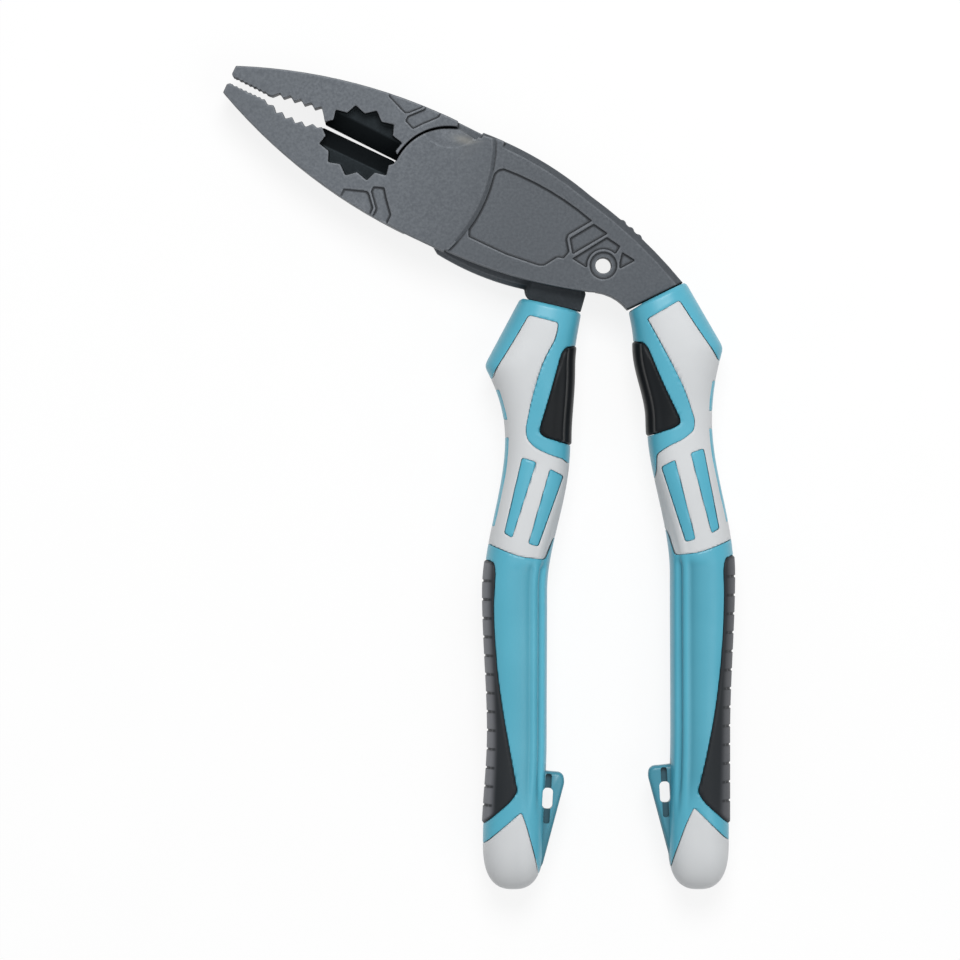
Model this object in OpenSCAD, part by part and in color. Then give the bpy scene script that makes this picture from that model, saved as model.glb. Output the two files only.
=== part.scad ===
// Combination pliers with an angled head: two forged levers on one rivet, two moulded grips.
// Millimetres. The pivot axis is Z through the origin, and Z = 0 is the flat back of the joint.
// X points right and Y points up as the tool is seen from the front.

/* [Head] */
// Thickness of the head at the joint
head_t = 11; // [9:0.5:14]
// Direction of the jaws, counted from +X
head_angle = 154; // [142:1:166]
// Reach of the jaws from the pivot to the tip
jaw_l = 53.5; // [48:0.5:60]
// Half width of the closed head at the joint
head_half_w = 13.6; // [12.5:0.1:16]
// Half width of the closed jaws at the tip
tip_half_w = 2.6; // [2.4:0.1:5]
// Thickness of the jaws at the tip
tip_t = 8; // [6:0.5:8.5]
// Angle between the jaws as drawn
rest_opening = 1.4; // [0.6:0.1:3]
// Widest angle of the jaws, where the horn meets the shoulder
max_opening = 26; // [18:1:32]

/* [Joint] */
// Step from the edge of the head to the round of the joint
joint_step = 1; // [0.6:0.1:2]
// Gap between the round of one lever and the shoulder of the other
joint_gap = 0.5; // [0.3:0.1:1]
// Gap between the two lapped faces
lap_gap = 0.1; // [0.05:0.05:0.2]
// Radius of the rivet's shank
rivet_r = 4; // [3:0.1:5]
// Radius of the rivet's flush head at the back
rivet_head_r = 5.2; // [5.1:0.1:6]
// Steel left over the rivet's blind end at the front
rivet_cover = 1.5; // [1:0.1:2.5]
// Radius of the ball that scoops out the joint plate beside the rear horn
scoop_r = 18; // [14:0.5:24]
// Half width of that scoop on the plate's face
scoop_half_w = 7.4; // [6.5:0.1:8]
// Running clearance round the rivet
rivet_gap = 0.06; // [0.03:0.01:0.15]

/* [Jaws] */
// Gap left between the tooth crests when the jaws are shut
bite_gap = 0.06; // [0.02:0.02:0.2]
// Length of the fine serrations at the tip
nose_l = 8.9; // [6:0.1:10]
// Pitch of the fine serrations
fine_pitch = 1.1; // [0.8:0.1:1.6]
// Depth of the fine serrations
fine_depth = 0.35; // [0.2:0.05:0.6]
// Length of the oval hollow
oval_l = 14.3; // [12:0.1:16]
// Depth of the oval hollow in the upper jaw
upper_oval_depth = 3.2; // [2:0.1:4]
// Depth of the oval hollow in the lower jaw
lower_oval_depth = 2; // [1.4:0.1:3]
// Number of coarse teeth in each side of the oval hollow
oval_teeth = 6; // [4:1:8]
// Height of the coarse teeth
oval_tooth_h = 1; // [0.6:0.1:1.4]
// Half length of the toothed recess, to the roots of its teeth
recess_half_l = 9.4; // [8:0.1:10]
// Half width of the toothed recess, across both jaws
recess_half_w = 7.6; // [6.5:0.1:8.2]
// Height of the teeth round the recess
recess_tooth_h = 1.5; // [0.8:0.1:2]
// Number of teeth in a full turn of the recess
recess_teeth = 12; // [8:1:16]
// Slope of the blades in the recess
blade_angle = 38; // [25:1:45]
// Width of the sloping blade
blade_w = 3.6; // [2.5:0.1:5]
// Depth of the marks pressed into the jaw faces
mark_depth = 0.4; // [0.2:0.1:0.6]

/* [Bodies] */
// Depth of the body face below the joint face
body_drop = 0.5; // [0.3:0.1:1]
// Depth of the panel in the body face
panel_depth = 0.5; // [0.3:0.1:0.8]
// Bow of the front body's outer edge
outer_bow = 1.2; // [0.8:0.1:2]
// Bow of its outer edge below the knee
knee_bow = 0.9; // [0.5:0.1:1.4]
// Bow of the edge where the joint plate steps down to the body
plate_bow = 3.5; // [2:0.1:4.5]
// Width of the bevel along the bodies' edges
edge_bevel_w = 1.4; // [0.8:0.1:2]
// Depth of that bevel
edge_bevel_d = 0.9; // [0.4:0.1:1.4]
// Width of the slope where the joint plate steps down
step_w = 0.6; // [0.4:0.1:1.4]
// Bow of the front body's lower edge
lower_bow = 1.4; // [1:0.1:2.2]
// Bow of the rear body's lower edge
chin_bow = 0.9; // [0.6:0.1:1.6]
// Width of the bevel along the front of that edge
chin_bevel_w = 0.8; // [0.5:0.1:1.1]
// Bow of the rear body's upper edge
neck_bow = 3; // [2:0.1:3.6]
// Radius of the hole through the front body
hole_r = 1.75; // [1.2:0.05:2.2]
// Radius of the sink round the hole
hole_sink_r = 3; // [2.6:0.1:3.4]
// Depth of the sink round the hole
hole_sink_d = 0.4; // [0.2:0.1:0.8]
// Radius of the ridges for the thumb
ridge_r = 0.9; // [0.6:0.1:1.2]
// Gap between the thick heel of the front lever and the rear neck
heel_gap = 2.2; // [1.6:0.1:3]

/* [Tangs] */
// Width of the tangs at the top of the grips
tang_top_w = 8; // [6:0.1:8.5]
// Width of the tangs at their lower ends
tang_end_w = 5.5; // [4:0.1:6]
// Thickness of the tangs
tang_t = 6; // [4:0.5:7]
// Height of the lower ends of the tangs
tang_end_y = -118; // [-128:1:-100]
// Gap round the tangs inside the grips
tang_gap = 0.1; // [0.05:0.05:0.3]

/* [Grips] */
// Distance of the middle between the grips from the pivot
mid_x = 35.2; // [33:0.1:38]
// How much higher the right grip's upper part sits than the left one's
lead = 4; // [2:0.1:5]
// How much further in the right grip's upper part sits
lean = 2.1; // [1:0.1:3]
// How much further in the right grip's end sits
tail_lean = 1.2; // [0:0.1:2]
// Height of the left grip's top face at its middle
collar_y = -26.3; // [-28:0.1:-25]
// Slope of the left grip's top face
left_cut = 13; // [8:1:18]
// Slope of the right grip's top face
right_cut = 26; // [18:1:30]
// Height of the left guard's crest
guard_y = -39.5; // [-42:0.1:-37]
// Height of the left waist
waist_y = -55.5; // [-58:0.1:-52]
// Height of the widest part of the left palm
palm_y = -89; // [-94:0.1:-85]
// Height of the narrowest part below the palm
heel_y = -120; // [-125:0.1:-112]
// Height where the end starts to round off
end_y = -144; // [-150:0.1:-140]
// Length of the rounded end
end_l = 10.8; // [8:0.1:14]
// Distance of the left grip's inner edge from the middle, at its hidden top
top_gap = 5.4; // [4.8:0.1:6]
// The same distance at the guard
guard_gap = 7.6; // [6.8:0.1:8.6]
// The same distance at the waist
waist_gap = 8.4; // [7.4:0.1:9.6]
// The same distance at the palm
palm_gap = 13.5; // [12:0.1:15]
// The same distance below the palm
heel_gap_in = 13.6; // [12:0.1:15]
// The same distance at the end
end_gap = 14.3; // [13:0.1:16]
// Width of the grips at their hidden top
top_w = 11.6; // [11.2:0.1:12.6]
// Width at the guard
guard_w = 19.8; // [18:0.1:23]
// Width at the waist
waist_w = 14.4; // [13.5:0.1:17]
// Width at the palm
palm_w = 14.1; // [13.2:0.1:18]
// Width below the palm
heel_w = 12.9; // [12.4:0.1:16]
// Width at the end
end_w = 13.4; // [12:0.1:16]
// Thickness at the guard
guard_t = 17; // [15:0.5:20]
// Thickness at the waist
waist_t = 15; // [14:0.5:18]
// Thickness at the palm
palm_t = 18; // [15:0.5:21]
// Thickness at the end
end_t = 15.5; // [14:0.5:19]
// Depth of the soft layers moulded over the sleeves
layer_d = 1.5; // [1:0.1:1.8]
// How far the pads stand proud of the sleeves
pad_proud = 0.3; // [0.1:0.1:0.5]
// Number of notches down each palm pad
notch_n = 13; // [6:1:13]
// Pitch of the notches
notch_pitch = 4.1; // [3:0.1:4.2]
// Width of the notches
notch_w = 0.5; // [0.4:0.1:1.2]
// Depth of the notches
notch_d = 0.5; // [0.4:0.1:1]
// Thickness of the bars on the outer sides
side_bar_t = 8.4; // [5:0.2:9]
// Gap round the moulded layers
layer_gap = 0.06; // [0.03:0.01:0.1]

/* [Tether loops] */
// Thickness of the loops
loop_t = 5.6; // [4:0.2:8]
// Reach of the loops inward from the edge of the grips
loop_reach = 4.3; // [3.8:0.1:5]
// Height of the loops' upper edge above the end's start
loop_top = 15.4; // [14:0.1:17]
// Length of the loops
loop_l = 22; // [20:0.5:24]
// Width of the slot through each loop
slot_w = 2.3; // [1.8:0.1:2.6]
// Length of the slot through each loop
slot_l = 4.6; // [3:0.1:6]
// Width of the groove above and below the slot
groove_w = 1.4; // [1:0.1:1.7]
// Depth of that groove on each face
groove_d = 1.6; // [0.8:0.1:1.8]

/* [Hidden] */
half_t = head_t / 2;
tip_half_t = min(tip_t / 2, half_t - 0.4);
body_z = half_t - body_drop;
joint_r = head_half_w - joint_step;
shoulder_r = joint_r + joint_gap;
head_behind = 5.3;
tail_in = 1.2;
back_from = 3;
jaw_from = joint_r + joint_gap / 2;
rear_angle = head_angle - rest_opening / 2;
front_angle = head_angle + rest_opening / 2;
horn_angle = 72;
shoulder_angle = front_angle - horn_angle - max_opening;
chin_angle = rear_angle + horn_angle + max_opening + 3;
oval_front = jaw_l - nose_l;
oval_back = oval_front - oval_l;
recess_u = oval_back - recess_half_l + 0.5;
blade_z = -1;
back_drop = head_half_w - tip_half_w;
back_run = jaw_l - back_from;
back_r = (back_run * back_run + back_drop * back_drop) / (2 * back_drop);
bevel_n = 7;
ring_n = 24;
section_power = 2.6;
top_y = guard_y + 19.5;
cut_at = 12;
far = 120;
$fn = 72;

// Points of a circular arc from p to q that bows by b to the left of the way from p to q
function arc(p, q, b, n = 12) =
  let (d = q - p, c = norm(d), side = [-d[1], d[0]] / c)
  let (r = (c * c / 4 + b * b) / (2 * b), ctr = (p + q) / 2 + side * (b - r))
  let (a0 = atan2(p[1] - ctr[1], p[0] - ctr[0]), sweep = 4 * atan(2 * b / c))
  [for (i = [0:n]) ctr + abs(r) * [cos(a0 - sweep * i / n), sin(a0 - sweep * i / n)]];

function all_but_first(v) = [for (i = [1:len(v) - 1]) v[i]];
function all_but_last(v) = [for (i = [0:len(v) - 2]) v[i]];

function polar(r, a) = [r * cos(a), r * sin(a)];

function ease(x) = x * x * (3 - 2 * x);

function signed_pow(x, e) = sign(x) * pow(abs(x), e);

// Heights, inner edges, widths and thicknesses at the six stations of a grip, r = 1 on the right
function marks(r) =
  [top_y + r * lead, guard_y + r * lead, waist_y + r * lead, palm_y + r * lead, heel_y, end_y];
function inner_marks(r) =
  [top_gap - r * lean * 1.4, guard_gap - r * lean, waist_gap, palm_gap, heel_gap_in, end_gap - r * tail_lean];
widths = [top_w, guard_w, waist_w, palm_w, heel_w, end_w];
thicks = [waist_t - 1, guard_t, waist_t, palm_t, (palm_t + end_t) / 2, end_t];

function step_at(y, m) = y > m[1] ? 0 : y > m[2] ? 1 : y > m[3] ? 2 : y > m[4] ? 3 : 4;
function way(y, m) = let (i = step_at(y, m)) max(0, min(1, (m[i] - y) / (m[i] - m[i + 1])));
function blend(v, i, k) = v[i] + (v[i + 1] - v[i]) * k;
function outer_ease(i, x) = i == 0 ? x : i == 1 ? 1 - pow(1 - x, 2) : ease(x);

// Distance of the grip's inner and outer edges from the middle line, and half its thickness
function inner_edge(y, r) =
  let (m = marks(r)) blend(inner_marks(r), step_at(y, m), pow(ease(way(y, m)), 1.2 - 0.2 * r));
function outer_edge(y, r) =
  let (m = marks(r), i = step_at(y, m)) blend(inner_marks(r) + widths, i, outer_ease(i, way(y, m)));
function half_thick(y, r) =
  let (m = marks(r)) blend(thicks, step_at(y, m), ease(way(y, m))) / 2;
function centre(y, r) = (inner_edge(y, r) + outer_edge(y, r)) / 2;
function half_w(y, r) = (outer_edge(y, r) - inner_edge(y, r)) / 2;

// A point on a grip: n runs across it from -1 at the inner edge to 1 at the outer edge
function on_grip(p, r) = [centre(p[1], r) + p[0] * half_w(p[1], r), p[1]];

// Height of a grip's slanted top face
function cut_slope(r) = r == 1 ? tan(right_cut) : tan(left_cut);
function cut_y(a, r) = collar_y + r * lead * 0.7 + (a - cut_at) * cut_slope(r);
function on_cut(a, r, drop = 0) = [a, cut_y(a, r) - drop];

// From a grip's own axes to the tool's
function placed(p, r) = [mid_x + (r == 1 ? p[0] : -p[0]), p[1]];

module on_side(r) {
  translate([mid_x, 0, half_t])
    mirror([1 - r, 0, 0])
      children();
}

// A moulded piece is worked out as one body
module moulded() {
  resize([0, 0, 0])
    children();
}

// Outline of one jaw from the pivot to the tip, above the parting line
function fine_teeth() =
  let (n = floor(nose_l / fine_pitch), step = nose_l / n, low = bite_gap / 2)
  [for (i = [0:n - 1]) each [
    [oval_front + i * step, low],
    [oval_front + (i + 0.5) * step, low + fine_depth]
  ]];
function oval_floor(x, lower) =
  lower == 1 ? lower_oval_depth * (1 - pow(abs(2 * x - 1), 3))
  : upper_oval_depth * min(1, x / 0.16) * pow(1 - x, 0.4);
function oval_side(lower) =
  let (n = 2 * oval_teeth)
  [for (i = [1:n - 1])
    let (x = i / n, crest = i > 1 && (i + lower) % 2 == 1)
    let (v = oval_floor(x, lower) - (crest ? oval_tooth_h : 0))
    [oval_back + x * oval_l, max(v, bite_gap / 2)]];
function back_y(u) = head_half_w - back_r + sqrt(back_r * back_r - pow(u - back_from, 2));
function jaw_outline(lower) = concat(
  [[-head_behind, 0], [0, bite_gap / 2], [oval_back, bite_gap / 2]],
  oval_side(lower),
  fine_teeth(),
  [[jaw_l - 0.6, bite_gap / 2], [jaw_l, 0.6]],
  [for (i = [0:14]) let (u = jaw_l - back_run * i / 14) [u, back_y(u)]],
  [[-head_behind, head_half_w]]
);

// The sector that a lever's far half leaves free for the other lever's shoulder
module free_sector() {
  polygon([[0, 0], polar(far, horn_angle), polar(far, 130), polar(far, 180), [0, -0.01]]);
}

// One jaw with its half of the lap joint, shut, tip towards +X, joint half on the +Z side;
// a child is a shape that is added to the joint half
module lever_head(front) {
  intersection() {
    difference() {
      union() {
        translate([0, 0, lap_gap / 2])
          linear_extrude(half_t - lap_gap / 2)
            union() {
              polygon(jaw_outline(front));
              circle(joint_r);
              children();
            }
        translate([0, 0, -half_t])
          linear_extrude(half_t + lap_gap)
            difference() {
              polygon(jaw_outline(front));
              circle(shoulder_r);
              free_sector();
            }
      }
      recess_cut(front);
      jaw_marks(front);
    }
    head_taper();
  }
}

module head_taper() {
  rotate([90, 0, 0])
    linear_extrude(far, center = true)
      polygon([
        [-far, -half_t], [jaw_from, -half_t], [jaw_l + 1, -tip_half_t],
        [jaw_l + 1, tip_half_t], [jaw_from, half_t], [-far, half_t]
      ]);
}

// The toothed recess opens on the front face and its floor slopes down to the cutting edge
module recess_cut(front) {
  top = blade_z + blade_w * tan(blade_angle);
  mirror([0, 0, 1 - front])
    intersection() {
      translate([recess_u, 0, -half_t])
        linear_extrude(head_t + 1)
          polygon([for (i = [0:2 * recess_teeth - 1])
            let (in = i % 2 == 0 ? 0 : recess_tooth_h, a = 180 * i / recess_teeth)
            [(recess_half_l - in) * cos(a), (recess_half_w - in) * sin(a)]]);
      translate([jaw_from, 0, 0])
        rotate([90, 0, 90])
          linear_extrude(far)
            polygon([[-1, blade_z], [0, blade_z], [blade_w, top], [far, top], [far, far], [-1, far]]);
    }
}

// Two shallow stepped marks by the outer edge of the jaw
module jaw_marks(front) {
  edge = head_half_w - 1.2 * front;
  mirror([0, 0, 1 - front])
    translate([0, 0, half_t - mark_depth - 0.2])
      linear_extrude(half_t) {
        polygon([
          [20.5, edge - 2], [15.6, edge - 3.7], [14.9, edge - 3.3],
          [12.8, edge - 0.9], [12.8, edge + 1], [20.5, edge + 1]
        ]);
        polygon([
          [14.8, edge - 4], [14.8, edge - 5.2], [12.5, edge - 6], [11.2, edge - 4.2],
          [8.6, edge - 1.2], [8.6, edge + 1], [12.2, edge + 1], [12.2, edge - 1]
        ]);
      }
}

// Shoulders of the two bodies, and the corners where they meet the grips
front_shoulder = polar(head_half_w + 0.3, shoulder_angle);
tail = [tail_in - head_behind, head_half_w - tail_in / 3];
front_tail = polar(norm(tail), front_angle + atan2(tail[1], tail[0]));
rear_tail = polar(norm(tail), rear_angle - atan2(tail[1], tail[0]));
rear_shoulder = polar(head_half_w + 1.4, chin_angle + 6);
chin_top = polar(head_half_w - 0.2, chin_angle);
front_knee = placed([-4, -2.2], 1);
front_out = placed(on_cut(outer_edge(collar_y + 3, 1) - 2, 1, -0.1), 1);
front_in = placed(on_cut(inner_edge(collar_y, 1), 1, -0.1), 1);
front_neck = placed([4.2, collar_y + 3], 0);
rear_out = placed(on_cut(outer_edge(collar_y, 0) - 3.1, 0, -0.1), 0);
rear_in = placed(on_cut(inner_edge(collar_y, 0) + 0.3, 0, -0.1), 0);
rear_chin = placed([18.5, collar_y + 3.7], 0);
rear_neck = placed([5, collar_y + 2.6], 0);
hole_at = placed([1.2, collar_y + 8.8], 0);

front_back = concat(
  arc(front_shoulder, front_knee, outer_bow),
  all_but_first(arc(front_knee, front_out, knee_bow, 6))
);
front_under = arc(front_neck, front_tail, lower_bow);
front_outline = concat(
  [[0, 0], polar(joint_r - 1, shoulder_angle)],
  front_back,
  arc(front_in, front_neck, -1.1, 6),
  all_but_first(front_under)
);
plate_top = front_shoulder * 0.2 + front_back[1] * 0.8 + [0.9, 0.9];
plate_low = front_tail + [0.8, -1.5];
plate_edge = arc(plate_top, plate_low, plate_bow);
plate_outline = concat(
  [[0, 0], polar(head_half_w - 0.1, shoulder_angle - 1.5), front_back[1] * 0.975],
  [for (p = all_but_first(all_but_last(plate_edge))) p + [2, 0]],
  [plate_low + [2, 0.6], front_tail]
);
rear_back = arc(rear_tail, rear_neck, neck_bow);
rear_under = arc(rear_chin, rear_shoulder, chin_bow);
rear_outline = concat(
  [[0, 0]],
  rear_back,
  [rear_in],
  arc(rear_out, rear_chin, 0.4, 4),
  all_but_first(rear_under),
  [chin_top, polar(joint_r - 1, chin_angle)]
);

// The tang of a lever follows the middle of its grip
function tang_half(y, r) =
  let (top = cut_y(cut_at, r), k = max(0, min(1, (top - y) / (top - tang_end_y))))
  (tang_top_w + (tang_end_w - tang_top_w) * k) / 2;
module tang_shape(r, more, top) {
  n = 16;
  y0 = cut_y(cut_at, r) + top;
  ys = [for (i = [0:n]) y0 + (tang_end_y - more - y0) * i / n];
  polygon(concat(
    [for (y = ys) [centre(y, r) - tang_half(y, r) - more, y]],
    [for (i = [0:n]) let (y = ys[n - i]) [centre(y, r) + tang_half(y, r) + more, y]]
  ));
}
module tang(r, more, top) {
  linear_extrude(tang_t + 2 * more, center = true)
    tang_shape(r, more, top);
}

// Everything above a grip's slanted top face
module above_cut(r, drop = 0) {
  linear_extrude(far, center = true)
    polygon([on_cut(-60, r, drop), on_cut(60, r, drop), [60, 60], [-60, 60]]);
}

// Room for the rivet: a bore that is blind at the front and sunk for the head at the back
module pivot_bore() {
  translate([0, 0, -1])
    cylinder(h = head_t - rivet_cover + rivet_gap + 1, r = rivet_r + rivet_gap);
  translate([0, 0, -0.01])
    cylinder(h = rivet_head_r - rivet_r, r1 = rivet_head_r + rivet_gap, r2 = rivet_r + rivet_gap);
}

// A bevel along a chain of edges, at the height of the origin, with the body to the right of the way
module edge_bevel(pts, w, d, over) {
  for (i = [0:len(pts) - 2])
    let (run = pts[i + 1] - pts[i])
      translate(pts[i])
        rotate([0, 0, atan2(run[1], run[0])])
          translate([-0.3, 0, 0])
            rotate([90, 0, 90])
              linear_extrude(norm(run) + 0.6)
                polygon([[-1.5 * w, d / 2], [over, d / 2], [over, -d * (1 + over / w)]]);
}

module body_bevel(pts) {
  edge_bevel(pts, edge_bevel_w, edge_bevel_d, edge_bevel_w);
}

// Rear lever: upper jaw, rear half of the joint and the tang of the left grip
module rear_lever() {
  color([0.4, 0.42, 0.45])
    difference() {
      union() {
        translate([0, 0, half_t])
          rotate([0, 0, rear_angle])
            rotate([180, 0, 0])
              lever_head(0);
        translate([0, 0, body_drop])
          linear_extrude(half_t - body_drop - lap_gap / 2)
            polygon(rear_outline);
        on_side(0)
          difference() {
            tang(0, 0, 1.5);
            translate([0, 0, far / 2 - lap_gap / 2])
              above_cut(0, 0.3);
          }
      }
      pivot_bore();
      rear_bevels();
      rear_panel();
    }
}

module rear_bevels() {
  translate([0, 0, body_drop])
    mirror([0, 0, 1]) {
      body_bevel(all_but_first(arc(rear_tail, rear_neck, neck_bow, bevel_n)));
      body_bevel(all_but_last(arc(rear_chin, rear_shoulder, chin_bow, bevel_n)));
    }
  chin = arc(rear_chin + [0.15, 0.1], rear_shoulder, chin_bow, bevel_n);
  translate([0, 0, half_t - lap_gap / 2])
    edge_bevel(chin, chin_bevel_w, chin_bevel_w, edge_bevel_w);
}
module rear_panel() {
  translate([0, 0, -1])
    linear_extrude(1 + body_drop + panel_depth)
      polygon([
        rear_shoulder * 0.75 + rear_neck * 0.25 + [4, 1],
        rear_shoulder * 0.2 + rear_neck * 0.8 + [-6, 2],
        rear_neck + [-4, 4],
        rear_tail * 0.55 + rear_neck * 0.45 + [-1, 0],
        rear_tail * 0.75 + rear_neck * 0.25 + [-3, -3]
      ]);
}

// Front lever: lower jaw, front half of the joint, hole and the tang of the right grip
module front_lever() {
  color([0.45, 0.47, 0.5])
    difference() {
      union() {
        translate([0, 0, half_t])
          rotate([0, 0, front_angle])
            lever_head(1)
              rotate([0, 0, -front_angle])
                polygon(plate_outline);
        translate([0, 0, half_t + lap_gap / 2])
          linear_extrude(body_z - lap_gap / 2)
            polygon(front_outline);
        translate([0, 0, body_drop])
          linear_extrude(half_t)
            front_heel_shape();
        thumb_ridges();
        on_side(1)
          tang(1, 0, 1.5);
      }
      pivot_bore();
      plate_step();
      front_bevels();
      plate_notch();
      front_panel();
      hole_marks();
      translate([hole_at[0], hole_at[1], -1])
        cylinder(h = head_t + 2, r = hole_r);
      translate([hole_at[0], hole_at[1], half_t + body_z - hole_sink_d])
        cylinder(h = 2, r = hole_sink_r);
    }
}

// Right of its curved edge the joint plate steps down to the body
module plate_step() {
  translate([0, 0, head_t - body_drop])
    linear_extrude(head_t)
      polygon(concat(
        plate_edge,
        [[plate_low[0], -far], [far, -far], [far, far], [plate_top[0], far]]
      ));
}
module front_bevels() {
  back = concat(
    all_but_first(all_but_last(arc(front_shoulder, front_knee, outer_bow, bevel_n - 2))),
    all_but_first(arc(front_knee, front_out, knee_bow, 4))
  );
  translate([0, 0, head_t - body_drop])
    body_bevel(back);
  translate([0, 0, head_t])
    edge_bevel(all_but_last(arc(plate_top, plate_low, plate_bow, bevel_n)), step_w, body_drop * 0.7, 0.2);
}

// The front lever is thick only clear of the rear neck
module front_heel_shape() {
  intersection() {
    polygon(front_outline);
    polygon(concat(
      [for (i = [6:12]) rear_back[i] + [heel_gap, 0]],
      [rear_neck + [heel_gap, -far], [far, -far], [far, far], rear_back[6] + [heel_gap, far]]
    ));
  }
}

module thumb_ridges() {
  edge = arc(front_knee, front_out, knee_bow, 12);
  for (i = [4, 5, 6])
    translate(concat(edge[i] - [ridge_r, ridge_r] * 0.44, [body_drop]))
      cylinder(h = head_t - 2 * body_drop, r = ridge_r, $fn = 24);
}

// Beside the rear horn the front plate's rim is cut back and its face is scooped out
module plate_notch() {
  translate([0, 0, half_t])
    rotate([0, 0, front_angle])
      linear_extrude(head_t)
        polygon([
          polar(joint_r + 0.5, -72), polar(joint_r - 0.9, -95),
          polar(joint_r + 0.2, -97), polar(joint_r + 2, -75)
        ]);
  lift = sqrt(scoop_r * scoop_r - scoop_half_w * scoop_half_w);
  translate(concat(polar(joint_r + 3.1, front_angle - 67), [head_t + lift]))
    sphere(r = scoop_r);
}

// The panel follows the joint plate, the outer edge and the pockets beside the hole
module front_panel() {
  corner = plate_edge[4];
  translate([0, 0, half_t + body_z - panel_depth])
    linear_extrude(half_t)
      polygon(concat(
        [for (i = [4:9]) plate_edge[13 - i] + [0.4, 0]],
        [corner + [0.75, 0.95], corner + [1.6, 1.7]],
        arc(corner + [2.8, 1.95], front_knee + [0.3, -5.5], 1, 6),
        [front_knee + [-4.9, -8.6], front_knee + [-5.2, -9.6], front_knee + [-4.7, -12.3]],
        [hole_at + [-8.7, 1.6], hole_at + [-10.1, 1.8], hole_at + [-13, 0], hole_at + [-14.2, 0]],
        [hole_at + [-21.3, 2.4], plate_edge[9] + [0.4, -1.6]]
      ));
}

// Two pockets beside the hole, and a slanted one between them and the panel
module hole_marks() {
  translate([hole_at[0], hole_at[1], half_t + body_z - panel_depth])
    linear_extrude(half_t) {
      difference() {
        polygon([[-6.8, 1.5], [-3.8, -0.4], [0, 0], [2.9, 2.9], [3.7, 4.2], [0.8, 6.2]]);
        circle(hole_sink_r + 0.6);
      }
      difference() {
        polygon([[4.1, 2.9], [3.2, -0.9], [7, 1.1]]);
        circle(hole_sink_r + 0.6);
      }
      polygon([[-2.1, 9.1], [0.95, 7], [-6.75, 2.5], [-7.4, 5.95]]);
    }
}

module pivot_rivet() {
  color([0.5, 0.52, 0.55])
    union() {
      cylinder(h = head_t - rivet_cover, r = rivet_r);
      cylinder(h = rivet_head_r - rivet_r, r1 = rivet_head_r, r2 = rivet_r);
    }
}

// Heights of the rings of a grip: down the five stretches, then round the end
function ring_heights(r, d) =
  let (m = marks(r), n = [5, 6, 9, 7, 5])
  concat(
    [for (i = [0:4]) for (j = [0:n[i] - 1]) m[i] + (m[i + 1] - m[i]) * j / n[i]],
    [for (a = [0:13:78]) m[5] - (end_l - d) * sin(a)]
  );
function end_round(y, d) =
  y > end_y ? 1 : pow(1 - pow((end_y - y) / (end_l - d), section_power), 1 / section_power);
function ring(y, r, d) =
  let (k = end_round(y, d), w = (half_w(y, r) - d) * k, t = (half_thick(y, r) - d) * k)
  [for (i = [0:ring_n - 1]) let (f = 360 * (i + 0.5) / ring_n) [
    centre(y, r) + w * signed_pow(cos(f), 2 / section_power),
    y,
    t * signed_pow(sin(f), 2 / section_power)
  ]];

// Body of a grip, drawn in by d all round
module loft(r, d) {
  ys = ring_heights(r, d);
  last = len(ys) - 1;
  pts = [for (y = ys) each ring(y, r, d)];
  sides = [for (j = [0:last - 1]) for (i = [0:ring_n - 1])
    let (a = j * ring_n + i, b = j * ring_n + (i + 1) % ring_n)
    each [[a, a + ring_n, b], [b, a + ring_n, b + ring_n]]];
  ends = [
    [for (i = [0:ring_n - 1]) i],
    [for (i = [0:ring_n - 1]) last * ring_n + ring_n - 1 - i]
  ];
  polyhedron(points = pts, faces = concat(sides, ends), convexity = 6);
}

// Outlines of the moulded layers, as places across and down the grip
function low_lead(r) = r * lead / 4;
function mid_lead(r) = r * lead / 2;
function rim(n, r, drop) = [n, cut_y(on_grip([n, collar_y - drop], r)[0], r) - drop];
function shell_zone(r) =
  let (w = waist_y + mid_lead(r), g = guard_y + r * lead, p = palm_y + low_lead(r), m = (w + p) / 2) [
  rim(0.5, r, 3.6 + r * 1.2), rim(-0.42 - r * 0.1, r, 3.6 + r * 0.6), [-0.47 - r * 0.1, g + 6.2],
  [-0.28, w + 16.7], [0.1 + r * 0.06, w + 9.2], [0.38 + r * 0.08, w + 2], [0.33 + r * 0.08, w - 0.3],
  [0.06, w - 2.2], [-0.43, w - 3.7], [-0.8, w - 4.5 - r * 0.9], [-0.94, w - 5.4 - r * 5],
  [-1.4, m + 10.5 - r * 8.5], [-1.4, m - 3.2 + r * 1.2],
  [-0.96, p + 11.8 + r], [-0.9, p + 9.2], [-0.84, p + 7],
  [-0.12, p + 7.5], [0.45, p + 8.8], [1.4, p + 11.6],
  [1.4, g - 4], [0.97, g - 2.9], [0.8, g - 0.9], [0.6, g + 4.9]
];
function finger_zone(r) = let (w = waist_y + mid_lead(r), t = collar_y + low_lead(r)) [
  [-1.4, t - 8.3], [-0.78, t - 9.1], [-0.68, t - 10.6], [-0.43, w + 10.7], [-0.06 + r * 0.06, w + 2.4],
  [-0.05 + r * 0.06, w + 1.3], [-0.2, w + 0.3], [-1.4, w - 2.3]
];
function palm_zone(r) = let (p = palm_y + low_lead(r), e = end_y) [
  [1.5, p + 8], [0.74, p + 6.4], [0.66, p + 4.2], [0.7, p - 4.2], [0.66, p - 16.9], [0.48, heel_y + 3.5],
  [0.15, heel_y - 7], [-0.07, e + 11.2], [0.13, e + 9], [0.56, e + 6.4], [1.5, e + 1.2]
];
function cap_zone(r) = [
  [1.5, end_y - 2.4 + r * 0.7], [0.94, end_y - 0.2 + r * 0.7], [-0.24 + r * 0.05, end_y + 6.6 + r * 1.1],
  [-0.42 - r * 0.04, end_y + 3.8], [-0.74 - r * 0.12, end_y - 3.7], [-0.85 - r * 0.13, end_y - 8],
  [-1.2, end_y - 16], [1.5, end_y - 16]
];
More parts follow.
